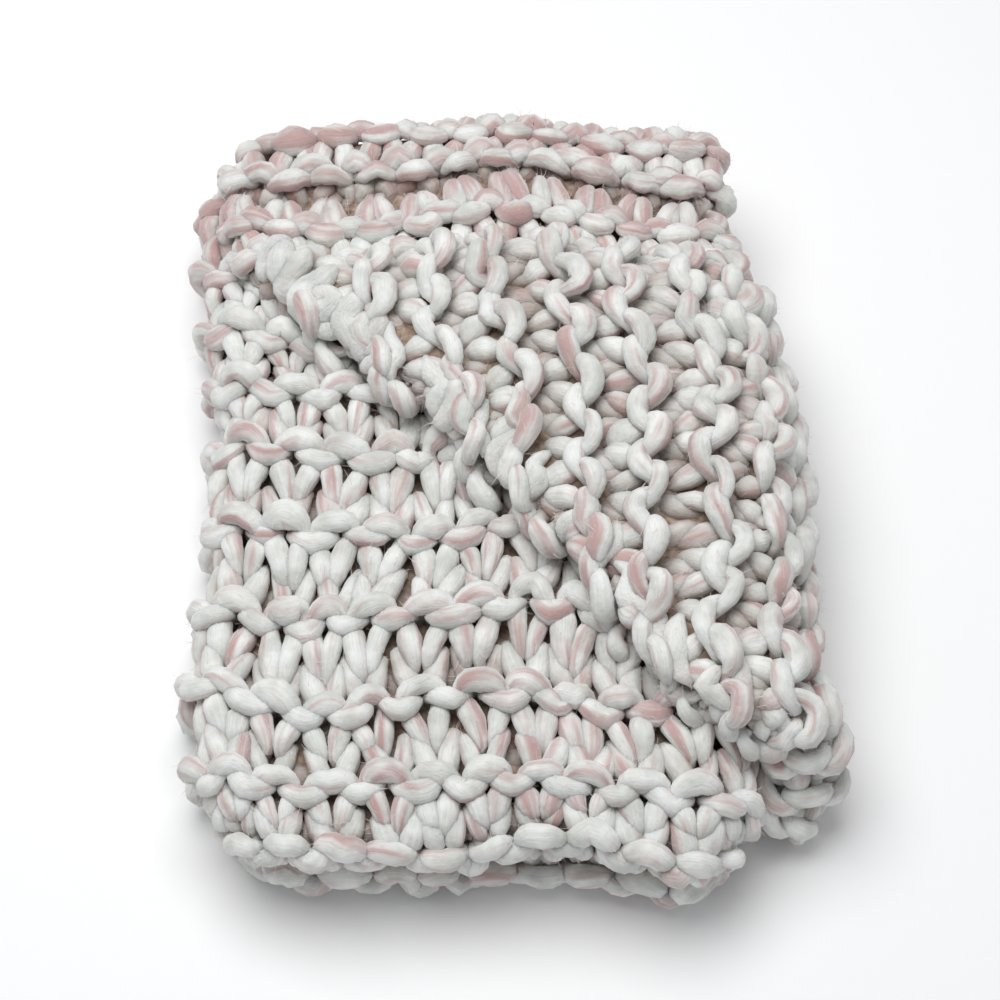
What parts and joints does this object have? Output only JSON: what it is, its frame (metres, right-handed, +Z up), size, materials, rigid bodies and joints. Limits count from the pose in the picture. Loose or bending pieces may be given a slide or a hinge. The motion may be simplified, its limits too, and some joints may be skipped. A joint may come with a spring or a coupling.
{
  "type": "folded chunky knit blanket",
  "caption": "Folded throw of thick knitted yarn: a low stack of soft layers with its top corner turned back across them and hanging over one side.",
  "frame": {"origin": "on the ground, under the middle of the folded blanket", "axes": "+Z up, +Y along the wales of the lower layers, away from the side of the lowest double fold, +X along their courses, towards the hanging side"},
  "size_m": [0.3961, 0.536, 0.1372],
  "materials": {
    "roving_yarn": "matt, soft, low-twist yarn, off-white with dusty pink streaks"
  },
  "bodies": {
    "root": {"blanket": "roving_yarn"}
  },
  "joints": []
}
